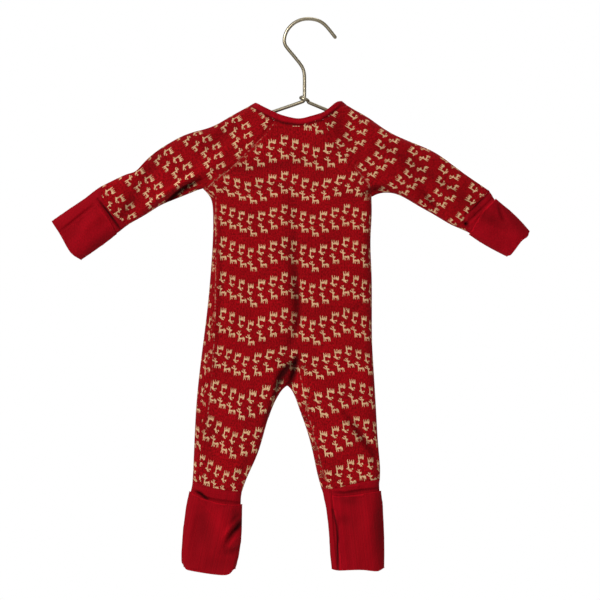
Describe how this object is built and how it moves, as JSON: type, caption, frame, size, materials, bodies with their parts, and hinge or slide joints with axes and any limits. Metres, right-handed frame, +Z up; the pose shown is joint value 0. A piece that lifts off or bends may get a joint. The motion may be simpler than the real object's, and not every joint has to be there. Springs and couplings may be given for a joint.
{
  "type": "baby onesie pajama on a wire hanger",
  "caption": "Long-sleeved footless romper pyjama in printed rib knit with fold-over hand and foot cuffs, hung flat on a wire hanger.",
  "frame": {"origin": "top of the space inside the hanger's hook, where it rests on a rail", "axes": "+Z up, the romper's back faces -Y, its front +Y, and +X is towards the wearer's right"},
  "size_m": [0.5371, 0.0303, 0.6264],
  "materials": {
    "printed_rib": "matt rib knit, cream print",
    "red_jersey": "matt jersey",
    "hanger_wire": "champagne-plated, satin",
    "snap_cap": "semi-gloss"
  },
  "bodies": {
    "root": {"back": "printed_rib", "front_left": "printed_rib", "front_right": "printed_rib", "gusset": "printed_rib", "sleeve_left": "printed_rib", "sleeve_right": "printed_rib", "neckband": "red_jersey", "placket": "red_jersey", "wrist_cuff_left": "red_jersey", "wrist_cuff_right": "red_jersey", "wrist_flap_left": "red_jersey", "wrist_flap_right": "red_jersey", "ankle_cuff_left": "red_jersey", "ankle_cuff_right": "red_jersey", "ankle_flap_left": "red_jersey", "ankle_flap_right": "red_jersey", "snap_1": "snap_cap", "snap_2": "snap_cap", "snap_3": "snap_cap", "snap_4": "snap_cap", "snap_5": "snap_cap", "snap_6": "snap_cap", "snap_7": "snap_cap", "hanger": "hanger_wire"}
  },
  "joints": []
}
